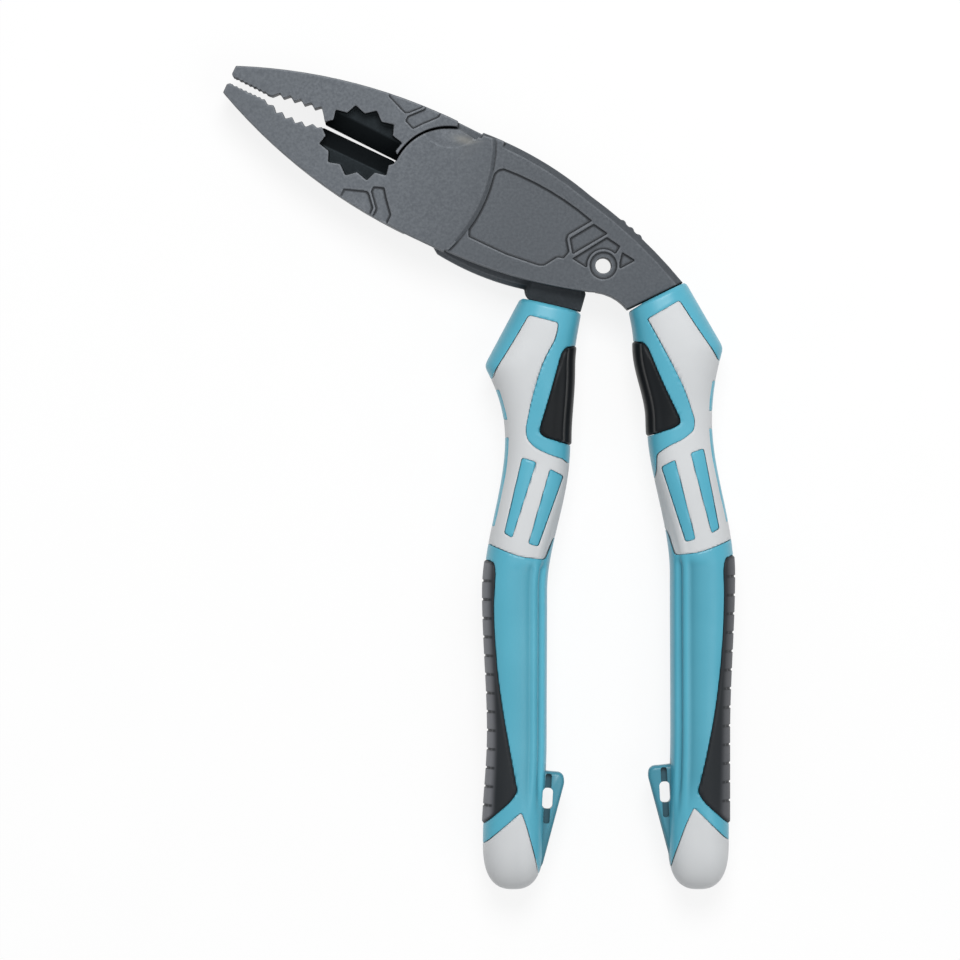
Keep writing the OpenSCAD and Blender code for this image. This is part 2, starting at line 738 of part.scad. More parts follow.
function bars(r) = let (w = waist_y + mid_lead(r), p = palm_y + low_lead(r)) [
  [
    [0.46 + r * 0.2, w - 4.2], [0.02 + r * 0.22, w - 5.2],
    [0.32 + r * 0.08, p + 11.8], [0.58 + r * 0.08, p + 12.8]
  ],
  [
    [-0.43 + r * 0.15, w - 6.7], [-0.86 + r * 0.13, w - 8.2],
    [-0.54 + r * 0.08, p + 9.9], [-0.23 + r * 0.08, p + 10.5]
  ]
];
function side_bars(r) = let (w = waist_y + mid_lead(r), p = palm_y + low_lead(r)) [
  [[0.5, w + 10.7], [1.5, w + 10.7], [1.5, w + 4.2], [0.5, w + 4.2]],
  [[0.5, w + 0.2], [1.5, w + 0.2], [1.5, p + 14.3], [0.5, p + 14.3]]
];

module zone(pts, r, more, t = far) {
  linear_extrude(t + 2 * more, center = true)
    offset(delta = more)
      polygon([for (p = pts) on_grip(p, r)]);
}

// The places where the sleeve shows through its soft shell as raised bars
module all_bars(r, more) {
  for (b = bars(r))
    zone(b, r, more);
  for (b = side_bars(r))
    zone(b, r, more, side_bar_t);
}

// The hollow in the sleeve for a layer, and the layer that fills it
module pocket(pts, r) {
  difference() {
    zone(pts, r, layer_gap);
    loft(r, layer_d);
  }
}
module layer(pts, r, proud) {
  intersection() {
    zone(pts, r, 0);
    difference() {
      loft(r, -proud);
      loft(r, layer_d - layer_gap);
    }
  }
}

// Tether loop on the inner side of the grip's end
function loop_mid(r) = [inner_edge(end_y + loop_top - loop_l / 2, r) - 0.6, end_y + loop_top + r * 1.4];
module loop_body(r) {
  m = loop_mid(r);
  linear_extrude(loop_t, center = true)
    polygon([
      m + [2.5, 0.8], m + [0.6, 0], m + [1.4 - loop_reach, -0.2], m + [0.6 - loop_reach, -0.9],
      m + [0.4 - loop_reach, -2.4], m + [1, -loop_l + 1.2], m + [2.6, -loop_l], m + [5, -loop_l + 6]
    ]);
}
module loop_slot(r) {
  m = loop_mid(r);
  translate([m[0] - 0.2, m[1] - loop_l * 0.27, 0])
    rotate([0, 0, 3]) {
      cube([slot_w, slot_l, far], center = true);
      for (s = [-1, 1])
        translate([0, 0, s * (loop_t / 2 + far / 2 - groove_d)])
          cube([groove_w, loop_l * 0.5, far], center = true);
    }
}

module grip_sleeve(r) {
  moulded()
    difference() {
      union() {
        loft(r, 0);
        loop_body(r);
      }
      difference() {
        pocket(shell_zone(r), r);
        all_bars(r, 0);
      }
      pocket(finger_zone(r), r);
      pocket(palm_zone(r), r);
      pocket(cap_zone(r), r);
      loop_slot(r);
      above_cut(r);
      tang(r, tang_gap, 2.5);
    }
}
module soft_shell(r) {
  moulded()
    difference() {
      layer(shell_zone(r), r, 0);
      all_bars(r, layer_gap);
    }
}
module finger_pad(r) {
  moulded()
    layer(finger_zone(r), r, pad_proud);
}

// Shallow notches round the outer side of a palm pad
module notches(r) {
  top = palm_y + low_lead(r) + 2.3;
  difference() {
    for (i = [0:notch_n - 1])
      let (y = top - i * notch_pitch)
        translate([on_grip([0.76, y], r)[0], y - notch_w / 2, -far / 2])
          cube([far, notch_w, far]);
    loft(r, notch_d - pad_proud);
  }
}
module palm_pad(r) {
  moulded()
    difference() {
      layer(palm_zone(r), r, pad_proud);
      notches(r);
    }
}
module end_cap(r) {
  moulded()
    layer(cap_zone(r), r, 0);
}

module left_sleeve() {
  color([0.35, 0.67, 0.78])
    on_side(0)
      grip_sleeve(0);
}
module left_soft_shell() {
  color([0.8, 0.8, 0.81])
    on_side(0)
      soft_shell(0);
}
module left_finger_pad() {
  color([0.13, 0.14, 0.15])
    on_side(0)
      finger_pad(0);
}
module left_palm_pad() {
  color([0.33, 0.33, 0.35])
    on_side(0)
      palm_pad(0);
}
module left_end_cap() {
  color([0.8, 0.8, 0.81])
    on_side(0)
      end_cap(0);
}
module right_sleeve() {
  color([0.35, 0.67, 0.78])
    on_side(1)
      grip_sleeve(1);
}
module right_soft_shell() {
  color([0.8, 0.8, 0.81])
    on_side(1)
      soft_shell(1);
}
module right_finger_pad() {
  color([0.13, 0.14, 0.15])
    on_side(1)
      finger_pad(1);
}
module right_palm_pad() {
  color([0.33, 0.33, 0.35])
    on_side(1)
      palm_pad(1);
}
module right_end_cap() {
  color([0.8, 0.8, 0.81])
    on_side(1)
      end_cap(1);
}

rear_lever();
front_lever();
pivot_rivet();
left_sleeve();
left_soft_shell();
left_finger_pad();
left_palm_pad();
left_end_cap();
right_sleeve();
right_soft_shell();
right_finger_pad();
right_palm_pad();
right_end_cap();
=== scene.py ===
"""Looks of the combination pliers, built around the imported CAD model."""
import math

import bmesh
import bpy
import numpy as np
from mathutils import Matrix, Vector

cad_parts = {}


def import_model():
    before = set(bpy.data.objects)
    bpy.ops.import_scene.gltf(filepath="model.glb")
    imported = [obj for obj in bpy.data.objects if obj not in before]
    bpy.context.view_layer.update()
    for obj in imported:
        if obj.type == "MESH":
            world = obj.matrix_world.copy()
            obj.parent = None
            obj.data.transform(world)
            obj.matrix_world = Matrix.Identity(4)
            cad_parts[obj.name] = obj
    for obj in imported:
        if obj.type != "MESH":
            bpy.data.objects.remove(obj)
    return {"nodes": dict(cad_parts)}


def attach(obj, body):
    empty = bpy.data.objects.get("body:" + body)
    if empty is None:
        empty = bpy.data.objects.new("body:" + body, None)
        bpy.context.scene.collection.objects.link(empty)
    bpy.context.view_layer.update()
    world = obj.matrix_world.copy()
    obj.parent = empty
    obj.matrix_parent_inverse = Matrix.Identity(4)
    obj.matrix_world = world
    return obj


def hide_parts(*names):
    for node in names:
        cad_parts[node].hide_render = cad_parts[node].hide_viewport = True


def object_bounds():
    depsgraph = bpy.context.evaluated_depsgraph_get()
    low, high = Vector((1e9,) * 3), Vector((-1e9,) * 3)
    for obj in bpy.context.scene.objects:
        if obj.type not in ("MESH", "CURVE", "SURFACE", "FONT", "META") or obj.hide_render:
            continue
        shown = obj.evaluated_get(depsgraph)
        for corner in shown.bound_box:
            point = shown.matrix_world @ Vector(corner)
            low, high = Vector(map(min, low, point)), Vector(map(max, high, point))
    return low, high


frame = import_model()
cad_box = [list(corner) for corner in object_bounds()]

MM = 0.001
NODES = frame["nodes"]

# Sizes of the grips, in millimetres, as in the part's source
MID_X, HALF_T = 35.2, 5.5
LEAD, LEAN, TAIL_LEAN = 4.0, 2.1, 1.2
COLLAR_Y, CUT_AT, CUT_ANGLE = -26.3, 12.0, (13.0, 26.0)
TOP_Y, GUARD_Y, WAIST_Y = -20.0, -39.5, -55.5
PALM_Y, HEEL_Y, END_Y, END_L = -89.0, -120.0, -144.0, 10.56
INNER = np.array([5.4, 7.6, 8.4, 13.5, 13.6, 14.3])
WIDTHS = np.array([11.6, 19.8, 14.4, 14.1, 12.9, 13.4])
THICKS = np.array([14.0, 17.0, 15.0, 18.0, 16.75, 15.5])
SECTION_POWER = 2.6
LAYER_D, LAYER_GAP, PAD_PROUD = 1.5, 0.06, 0.3
SIDE_BAR_HALF = 4.2
TANG_TOP_W, TANG_END_W, TANG_T, TANG_END_Y, TANG_GAP = 8.0, 5.5, 6.0, -118.0, 0.1
LOOP_T, LOOP_REACH, LOOP_TOP, LOOP_L = 5.6, 4.3, 15.4, 22.0
SLOT_W, SLOT_L, GROOVE_W, GROOVE_D = 2.3, 4.6, 1.4, 1.6
NOTCH_N, NOTCH_PITCH = 13, 4.1

# Sizes of the head, in millimetres: its angle, the toothed recess and how the jaws grow thinner
HEAD_ANGLE, RECESS_U, RECESS_L, RECESS_W = 154.0, 21.4, 9.4, 7.6
TAPER_U, TAPER_L, TAPER_D = 13.0, 41.0, 1.5

# Relief that only the looks have, in millimetres: notches, crease, roundings of the borders, and how
# far the grips are drawn in to stay within the box of the solids
NOTCH_D = 0.25
CREASE_D, CREASE_W, HOLLOW_D = 0.75, 0.55, 0.5
SLEEVE_ROUND, COLLAR_ROUND, SHELL_ROUND, PAD_ROUND, CAP_ROUND = 0.15, 0.7, 0.2, 0.5, 0.2
LOOP_ROUND = ((0, 0.7), (0.2, 0.32), (0.7, 0))
TRIM_X, TRIM_Z = 0.05, 0.07

# For the left and the right grip: how far the crease lies in from the inner edge, how strong the painted
# shade in its groove and hollow and the painted highlight on its lip are, and how strong the lighter
# strip on the palm pad is, which painted light sets apart per grip
GROOVE_LINE = (1.25, 1.8)
GROOVE_SHADE, HOLLOW_SHADE, LIP_HIGHLIGHT = (0.1, 0.3), (0.22, 0.34), (0.9, 0.15)
PALM_TONE = (1.0, 0.42)

# Where a painted highlight lies on uncoated steel in the joint plate's scoop, where painted shadow lies
# on the low neck, and where the steel grows darker, in millimetres from the pivot
BARE_SHEEN_X, BARE_SHEEN_Y = 3.6, 10.0
NECK_X, NECK_Y = 13.5, -19.8
DIM_U, DIM_L = 15.0, 35.0

# Fineness of the meshes, and the half height of a tool that cuts right through
RING_STEP, AROUND = 0.36, 150
CORE_STEP, CORE_AROUND = 1.6, 48
LEVER_VOXEL, LEVER_SMOOTHING, LEVER_KEPT = 0.16, 3, 0.2
CHUNK = 4096
FAR = 40.0
TINY = 1e-12


# ---------------------------------------------------------------- meshes

def new_object(name, verts, faces):
    """A mesh object in millimetres, with its faces turned outward."""
    mesh = bpy.data.meshes.new(name)
    mesh.from_pydata([tuple(v) for v in verts], [], faces)
    bm = bmesh.new()
    bm.from_mesh(mesh)
    if bm.calc_volume(signed=True) < 0:
        bmesh.ops.reverse_faces(bm, faces=bm.faces)
    bm.to_mesh(mesh)
    bm.free()
    obj = bpy.data.objects.new(name, mesh)
    bpy.context.scene.collection.objects.link(obj)
    return obj


def drop(obj):
    """Removes an object and its mesh."""
    mesh = obj.data
    bpy.data.objects.remove(obj)
    bpy.data.meshes.remove(mesh)


def apply_modifiers(obj):
    """Makes the shape that the modifiers give the object's own mesh."""
    graph = bpy.context.evaluated_depsgraph_get()
    graph.update()
    mesh = bpy.data.meshes.new_from_object(obj.evaluated_get(graph))
    old = obj.data
    obj.modifiers.clear()
    obj.data = mesh
    bpy.data.meshes.remove(old)


def boolean(obj, tool, operation, keep_tool=False):
    """Cuts, joins or intersects obj with a closed tool."""
    mod = obj.modifiers.new("shape", "BOOLEAN")
    mod.operation = operation
    mod.solver = "MANIFOLD"
    mod.object = tool
    apply_modifiers(obj)
    if not keep_tool:
        drop(tool)


def prism(name, levels):
    """A closed body through outlines with the same number of points, given as (points, z)."""
    n = len(levels[0][0])
    verts = [(p[0], p[1], z) for pts, z in levels for p in pts]
    faces = [list(range(n)), list(range((len(levels) - 1) * n, len(levels) * n))[::-1]]
    for k in range(len(levels) - 1):
        low, high = k * n, (k + 1) * n
        for i in range(n):
            j = (i + 1) % n
            faces.append([low + i, high + i, high + j, low + j])
    return new_object(name, verts, faces)


# ---------------------------------------------------------------- outlines

def rounded(pts, reach, steps=6):
    """A closed outline with its corners rounded: gentle corners wholly, sharp ones by reach."""
    gentle_turn, share = 0.75, 0.46
    pts = np.asarray(pts, float)
    out = []
    for i, p in enumerate(pts):
        a, b = pts[i - 1] - p, pts[(i + 1) % len(pts)] - p
        la, lb = np.linalg.norm(a), np.linalg.norm(b)
        gentle = -np.dot(a, b) / (la * lb) > gentle_turn
        cut = share * min(la, lb)
        cut = cut if gentle else min(reach, cut)
        p0, p1 = p + a / la * cut, p + b / lb * cut
        for t in np.linspace(0, 1, steps + 1):
            out.append((1 - t) ** 2 * p0 + 2 * t * (1 - t) * p + t ** 2 * p1)
    return np.array(out)


def grown(pts, d):
    """A closed outline moved outward by d."""
    pts = np.asarray(pts, float)
    area = np.sum(pts[:, 0] * np.roll(pts[:, 1], -1) - np.roll(pts[:, 0], -1) * pts[:, 1])
    run = np.roll(pts, -1, 0) - np.roll(pts, 1, 0)
    run /= np.maximum(np.linalg.norm(run, axis=1), TINY)[:, None]
    normal = np.stack([run[:, 1], -run[:, 0]], 1) * np.sign(area)
    return pts + normal * d


def depth(outline, a, y):
    """Distance of each point (a, y) from a closed outline, positive within it."""
    p0 = np.asarray(outline, float)
    run = np.roll(p0, -1, 0) - p0
    length = np.maximum((run ** 2).sum(1), TINY)
    rise = np.where(np.abs(run[:, 1]) < TINY, TINY, run[:, 1])
    flat = np.stack([np.ravel(a), np.ravel(y)], 1)
    best = np.empty(len(flat))
    for s in range(0, len(flat), CHUNK):
        q = flat[s:s + CHUNK, None, :] - p0[None]
        t = np.clip((q * run[None]).sum(2) / length, 0, 1)
        far = np.sqrt(((q - t[..., None] * run[None]) ** 2).sum(2).min(1))
        level = q[..., 1] / rise
        crossed = (level >= 0) & (level < 1) & (q[..., 0] < level * run[:, 0])
        best[s:s + CHUNK] = np.where(crossed.sum(1) % 2 == 1, far, -far)
    return best.reshape(np.shape(a))


def hill(x, width):
    """1 at x = 0, falling softly to 0 on both sides."""
    return np.exp(-(x / width) ** 2)


def ease(x):
    """Rises softly from 0 at x = 0 to 1 at x = 1."""
    x = np.clip(x, 0, 1)
    return x * x * (3 - 2 * x)


def edge_drop(d, radius):
    """How far a surface falls away at depth d within a rounded edge, and on past the edge."""
    k = np.clip(1 - d / radius, 0, 3)
    return radius * np.where(k > 1, 2 * k - 1, k * k)


def upward(z):
    """How much of a rounding is made at height z of a grip: all on the faces, less on the sides."""
    return 0.25 + 0.75 * ease((np.abs(z) - 1.5) / 4)


# ---------------------------------------------------------------- grips

class Grip:
    """One grip in its own axes: a outward from the middle line, y along the tool, z to the front.

    r is 0 for the left grip and 1 for the right one, which differs a little in its outlines.
    """

    def __init__(self, r):
        self.r, self.side = r, (1 if r else -1)
        self.label, self.body = ("right", "front_half") if r else ("left", "rear_half")
        upper = np.array([TOP_Y, GUARD_Y, WAIST_Y, PALM_Y]) + r * LEAD
        marks = np.array([*upper, HEEL_Y, END_Y])
        inner = INNER - r * np.array([LEAN * 1.4, LEAN, 0, 0, 0, TAIL_LEAN])
        outer = inner + WIDTHS
        y = np.arange(END_Y - 14, marks[0] + 6, 0.1)
        i = sum((y <= marks[k]).astype(int) for k in range(1, 5))
        way = np.clip((marks[i] - y) / (marks[i] - marks[i + 1]), 0, 1)
        soft = ease(way)
        bulge = np.where(i == 0, way, np.where(i == 1, 1 - (1 - way) ** 2, soft))
        self.y = y
        self.inner = self._smooth(inner[i] + (inner[i + 1] - inner[i]) * soft ** (1.2 - 0.2 * r))
        self.outer = self._smooth(outer[i] + (outer[i + 1] - outer[i]) * bulge) - TRIM_X
        self.half_t = self._smooth(THICKS[i] + (THICKS[i + 1] - THICKS[i]) * soft) / 2 - TRIM_Z
        self.cut = math.tan(math.radians(CUT_ANGLE[r]))
        self.mid_lead, self.low_lead = r * LEAD / 2, r * LEAD / 4

    @staticmethod
    def _smooth(v, sigma=7):
        k = np.exp(-0.5 * (np.arange(-25, 26) / sigma) ** 2)
        return np.convolve(np.pad(v, 25, mode="edge"), k / k.sum(), mode="valid")

    def edges(self, y):
        """The inner and the outer edge at a height."""
        return np.interp(y, self.y, self.inner), np.interp(y, self.y, self.outer)

    def centre(self, y):
        inner, outer = self.edges(y)
        return (inner + outer) / 2

    def half_w(self, y):
        inner, outer = self.edges(y)
        return (outer - inner) / 2

    def on(self, pts):
        """Points given across (-1 inner, 1 outer) and along the grip."""
        n, y = np.array(pts, float).T
        return np.stack([self.centre(y) + n * self.half_w(y), y], 1)

    def cut_y(self, a):
        """Height of the slanting edge at which the collar ends."""
        return COLLAR_Y + self.r * LEAD * 0.7 + (a - CUT_AT) * self.cut

    def rim(self, n, low):
        """A place across the grip, a distance below the collar's edge."""
        a = self.on([[n, COLLAR_Y - low]])[0][0]
        return [n, self.cut_y(a) - low]

    def rings(self, top, bottom, extra=()):
        """Heights of the rings of a loft, closer together round the end."""
        ys = np.arange(min(top, 0), max(bottom, END_Y), -RING_STEP)
        if bottom < END_Y:
            ys = np.concatenate([ys, END_Y - END_L * np.sin(np.radians(np.linspace(0, 87, 30)))])
        return np.unique(np.concatenate([ys, extra]))[::-1]

    def loft(self, name, ys, around=AROUND, inset=0.0):
        """The grip's body between two heights, drawn in by a number or by a field of (a, y, z)."""
        f = 2 * np.pi * (np.arange(around) + 0.5) / around
        across = np.sign(np.cos(f)) * np.abs(np.cos(f)) ** (2 / SECTION_POWER)
        up = np.sign(np.sin(f)) * np.abs(np.sin(f)) ** (2 / SECTION_POWER)
        end_l = END_L - (0 if callable(inset) else inset)
        low = np.clip((END_Y - ys) / end_l, 0, 0.9985)
        k = ((1 - low ** SECTION_POWER) ** (1 / SECTION_POWER))[:, None]
        c, w = self.centre(ys)[:, None], self.half_w(ys)[:, None]
        t = np.interp(ys, self.y, self.half_t)[:, None]
        if callable(inset):
            inset = inset(c + w * k * across, ys[:, None] + 0 * across, t * k * up)
        a = c + (w - inset) * k * across
        z = (t - inset) * k * up
        y = ys[:, None] + 0 * a
        rows = len(ys)
        verts = self.place(np.stack([a, y, z], 2).reshape(-1, 3))
        faces = []
        for row in range(rows - 1):
            high, low = row * around, (row + 1) * around
            for i in range(around):
                j = (i + 1) % around
                faces.append([high + i, high + j, low + j, low + i])
        faces += [list(range(around))[::-1], list(range((rows - 1) * around, rows * around))]
        return new_object(name, verts, faces)

    def core(self, inset):
        """The body under the layers, roughly."""
        end = END_Y - (END_L - inset) * np.sin(np.radians(np.arange(0, 87, 7)))
        ys = np.concatenate([np.arange(-8, END_Y, -CORE_STEP), end])
        return self.loft("core", ys, CORE_AROUND, inset)

    def place(self, p):
        """Points of the grip's own axes in the part's frame, in millimetres."""
        p = np.array(p, float)
        return np.stack([MID_X + self.side * p[:, 0], p[:, 1], HALF_T + p[:, 2]], 1)

    def column(self, name, outline, half=FAR):
        """A body of even outline through the whole grip, or of a given half height."""
        flat = np.stack([MID_X + self.side * outline[:, 0], outline[:, 1]], 1)
        return prism(name, [(flat, HALF_T - half), (flat, HALF_T + half)])

    # Outlines of the moulded layers, as places across and down the grip

    def shell(self):
        r, g = self.r, GUARD_Y + self.r * LEAD
        w, p = WAIST_Y + self.mid_lead, PALM_Y + self.low_lead
        m = (w + p) / 2
        return rounded(self.on([
            self.rim(0.5, 3.6 + r * 1.2), self.rim(-0.42 - r * 0.1, 3.6 + r * 0.6),
            [-0.47 - r * 0.1, g + 6.2], [-0.28, w + 16.7], [0.1 + r * 0.06, w + 9.2],
            [0.38 + r * 0.08, w + 2], [0.33 + r * 0.08, w - 0.3], [0.06, w - 2.2],
            [-0.43, w - 3.7], [-0.8, w - 4.5 - r * 0.9], [-0.94, w - 5.4 - r * 5],
            [-1.4, m + 10.5 - r * 8.5], [-1.4, m - 3.2 + r * 1.2],
            [-0.96, p + 11.8 + r], [-0.9, p + 9.2], [-0.84, p + 7],
            [-0.12, p + 7.5], [0.45, p + 8.8], [1.4, p + 11.6],
            [1.4, g - 4], [0.97, g - 2.9], [0.8, g - 0.9], [0.6, g + 4.9],
        ]), 0.7)

    def finger(self):
        r, w, t = self.r, WAIST_Y + self.mid_lead, COLLAR_Y + self.low_lead
        return rounded(self.on([
            [-1.4, t - 8.3], [-0.78, t - 9.1], [-0.68, t - 10.6],
            [-0.43, w + 10.7], [-0.06 + r * 0.06, w + 2.4], [-0.05 + r * 0.06, w + 1.3],
            [-0.2, w + 0.3], [-1.4, w - 2.3],
        ]), 0.8)

    def palm(self):
        p, e = PALM_Y + self.low_lead, END_Y
        return rounded(self.on([
            [1.5, p + 8], [0.74, p + 6.4], [0.66, p + 4.2], [0.7, p - 4.2], [0.66, p - 16.9],
            [0.48, HEEL_Y + 3.5], [0.15, HEEL_Y - 7],
            [-0.07, e + 11.2], [0.13, e + 9], [0.56, e + 6.4], [1.5, e + 1.2],
        ]), 0.7)

    def cap(self):
        r, e = self.r, END_Y
        return rounded(self.on([
            [1.5, e - 2.4 + r * 0.7], [0.94, e - 0.2 + r * 0.7], [-0.24 + r * 0.05, e + 6.6 + r * 1.1],
            [-0.42 - r * 0.04, e + 3.8], [-0.74 - r * 0.12, e - 3.7], [-0.85 - r * 0.13, e - 8],
            [-1.2, e - 16], [1.5, e - 16],
        ]), 0.6)

    def inlays(self):
        return self.finger(), self.palm(), self.cap()

    def bars(self):
        """The raised bars that show through windows of the shell."""
        r, w, p = self.r, WAIST_Y + self.mid_lead, PALM_Y + self.low_lead
        return [rounded(self.on(pts), 0.5) for pts in (
            [[0.46 + r * 0.2, w - 4.2], [0.02 + r * 0.22, w - 5.2],
             [0.32 + r * 0.08, p + 11.8], [0.58 + r * 0.08, p + 12.8]],
            [[-0.43 + r * 0.15, w - 6.7], [-0.86 + r * 0.13, w - 8.2],
             [-0.54 + r * 0.08, p + 9.9], [-0.23 + r * 0.08, p + 10.5]],
        )]

    def side_bars(self):
        """Upper and lower ends of the bars on the grip's outer side."""
        w, p = WAIST_Y + self.mid_lead, PALM_Y + self.low_lead
        return [(w + 10.7, w + 4.2), (w + 0.2, p + 14.3)]

    def side_bar_outline(self, bar):
        top, low = bar
        return self.on([[0.5, top], [1.5, top], [1.5, low], [0.5, low]])

    def side_bar_depth(self, bar, a, y, z):
        """Distance from the rim of a bar on the outer side, positive within it."""
        dy = np.abs(y - sum(bar) / 2) - (bar[0] - bar[1]) / 2
        dz = np.abs(z) - SIDE_BAR_HALF
        inside = np.maximum(dy, dz)
        outside = np.hypot(np.maximum(dy, 0), np.maximum(dz, 0))
        return np.where(a > self.centre(y), np.where(inside < 0, -inside, -outside), -FAR)

    def loop_mid(self):
        """Where the loop's upper end meets the grip."""
        inner = self.edges(END_Y + LOOP_TOP - LOOP_L / 2)[0]
        return np.array([inner - 0.6, END_Y + LOOP_TOP + self.r * 1.4])


def bare_depth(grip, a, y, z):
    """Distance from the borders of the layers, positive where the sleeve shows."""
    shell = depth(grip.shell(), a, y)
    for outline in grip.bars():
        shell = np.minimum(shell, -depth(outline, a, y))
    for bar in grip.side_bars():
        shell = np.minimum(shell, -grip.side_bar_depth(bar, a, y, z))
    inlays = [depth(outline, a, y) for outline in grip.inlays()]
    return -np.maximum.reduce([shell, *inlays])


def crease_way(grip, a, y):
    """Distance from the groove near the grip's inner edge, and how strong the groove is there."""
    top = PALM_Y + grip.low_lead + 6.5
    high = np.clip((y - top) / 20, 0, 1)
    s = a - grip.edges(y)[0] - GROOVE_LINE[grip.r] * (1 - high)
    in_shell = 0.25 + 0.75 * ease((top - y) / 2)
    return s, in_shell * (1 - ease(high)) * ease((y - (END_Y + 4)) / 12)


def crease(grip, a, y):
    """The groove, ridge and hollow that run down the grip near its inner edge, shallow in the shell."""
    s, fade = crease_way(grip, a, y)
    hollow = ease((s - 1.5) / 1.0) * np.exp(-np.maximum(s - 2.5, 0) / 2.4)
    return fade * (CREASE_D * hill(s, CREASE_W) + HOLLOW_D * hollow)


def sleeve(grip):
    """The turquoise core, with pockets for the layers, its loop and its crease."""
    def field(a, y, z):
        top = (grip.cut_y(a) - y) * math.cos(math.atan(grip.cut))
        border = upward(z) * edge_drop(bare_depth(grip, a, y, z), SLEEVE_ROUND)
        return border + crease(grip, a, y) + edge_drop(top, COLLAR_ROUND)

    obj = grip.loft("sleeve", grip.rings(-14, END_Y - END_L), inset=field)
    shell_tool = grip.column("pocket", grown(grip.shell(), LAYER_GAP))
    for outline in grip.bars():
        boolean(shell_tool, grip.column("bar", outline), "DIFFERENCE")
    for bar in grip.side_bars():
        kept = grip.column("bar", grip.side_bar_outline(bar), SIDE_BAR_HALF)
        boolean(shell_tool, kept, "DIFFERENCE")
    tools = [grip.column("pocket", grown(outline, LAYER_GAP)) for outline in grip.inlays()]
    tools.insert(0, shell_tool)
    core = grip.core(LAYER_D)
    for tool in tools:
        boolean(tool, core, "DIFFERENCE", keep_tool=True)
        boolean(obj, tool, "DIFFERENCE")
    drop(core)
    boolean(obj, loop_body(grip), "UNION")
    for tool in loop_slots(grip):
        boolean(obj, tool, "DIFFERENCE")
    above = np.array([[-60, grip.cut_y(-60.0)], [60, grip.cut_y(60.0)], [60, 90], [-60, 90]])
    boolean(obj, grip.column("top", above), "DIFFERENCE")
    ys = np.linspace(grip.cut_y(CUT_AT) + 2.5, TANG_END_Y - TANG_GAP, 17)
    k = np.clip((grip.cut_y(CUT_AT) - ys) / (grip.cut_y(CUT_AT) - TANG_END_Y), 0, 1)
    half = (TANG_TOP_W + (TANG_END_W - TANG_TOP_W) * k) / 2 + TANG_GAP
    c = grip.centre(ys)
    tang = np.concatenate([np.stack([c - half, ys], 1), np.stack([c + half, ys], 1)[::-1]])
    boolean(obj, grip.column("tang", tang, TANG_T / 2 + TANG_GAP), "DIFFERENCE")
    return obj


def loop_body(grip):
    """The tether loop, with room left for the end cap."""
    m = grip.loop_mid()
    outline = rounded(m + np.array([
        [3.5, 0.8], [0.6, 0.1], [1.4 - LOOP_REACH, -0.2], [0.6 - LOOP_REACH, -0.9],
        [0.4 - LOOP_REACH, -2.4], [1, -LOOP_L + 1.2], [2.6, -LOOP_L], [5, -LOOP_L + 6],
    ]), 0.9)
    half = LOOP_T / 2
    steps = [(low - half, inset) for low, inset in LOOP_ROUND]
    steps += [(half - low, inset) for low, inset in reversed(LOOP_ROUND)]
    levels = []
    for lift, inset in steps:
        pts = grown(outline, -inset)
        levels.append((np.stack([MID_X + grip.side * pts[:, 0], pts[:, 1]], 1), HALF_T + lift))
    obj = prism("loop", levels)
    room = grip.loft("room", grip.rings(END_Y + 10, END_Y - END_L), inset=-LAYER_GAP)
    boolean(room, grip.column("zone", grown(grip.cap(), 1.5 * LAYER_GAP)), "INTERSECT")
    boolean(obj, room, "DIFFERENCE")
    return obj


def loop_frame(grip):
    """Middle and turn of the slot in the loop."""
    turn = math.radians(3)
    spin = np.array([[math.cos(turn), math.sin(turn)], [-math.sin(turn), math.cos(turn)]])
    return grip.loop_mid() + np.array([-0.2, -LOOP_L * 0.27]), spin


def loop_slots(grip):
    """The slot right through the loop, and the grooves round it on both faces."""
    at, spin = loop_frame(grip)

    def oblong(w, l, reach):
        pts = np.array([[-w, -l], [w, -l], [w, l], [-w, l]]) / 2
        return rounded(pts, reach) @ spin + at

    yield grip.column("slot", oblong(SLOT_W, SLOT_L, 1.0))
    for s in (-1, 1):
        outline = oblong(GROOVE_W, LOOP_L * 0.5, 0.6)
        flat = np.stack([MID_X + grip.side * outline[:, 0], outline[:, 1]], 1)
        z = HALF_T + s * (LOOP_T / 2 - GROOVE_D)
        yield prism("groove", [(flat, z), (flat, z + s * 20)])


def sleeve_shade(grip, co):
    """Painted shade on the sleeve: in the grooves of its loop, round the loop where it lies against the
    grip, and along its crease.
    """
    a, y, z = (co[:, 0] - MID_X) * grip.side, co[:, 1], np.abs(co[:, 2] - HALF_T)
    at, spin = loop_frame(grip)
    p = (np.stack([a, y], 1) - at) @ spin.T
    inside = (np.abs(p[:, 0]) < GROOVE_W / 2 + 0.05) & (np.abs(p[:, 1]) < LOOP_L / 4 + 0.05)
    groove = inside * ease((LOOP_T / 2 - z - 0.2) / 1.0)
    inner, top = grip.edges(y)[0], grip.loop_mid()[1]
    beside = ease((LOOP_T / 2 + 0.3 - z) / 0.3) * ease((inner + 1.5 - a) / 0.5)
    along = (y < top + 1.5) * (y > top - LOOP_L - 1)
    loop = beside * (0.45 + 0.25 * ease((a - inner + 1.5) / 1.5)) * along
    s, fade = crease_way(grip, a, y)
    line = GROOVE_SHADE[grip.r] * hill(s - 0.5, 0.5)
    hollow = HOLLOW_SHADE[grip.r] * ease((s - 1.6) / 1.2) * np.exp(-np.maximum(s - 3, 0) / 2.4)
    return np.maximum(np.maximum(groove, loop), fade * np.maximum(line, hollow))


def sleeve_lip_highlight(grip, co):
    """A painted highlight on the lip between the sleeve's crease and its inner edge."""
    s, fade = crease_way(grip, (co[:, 0] - MID_X) * grip.side, co[:, 1])
    return LIP_HIGHLIGHT[grip.r] * fade * hill(s + 0.4, 0.45)


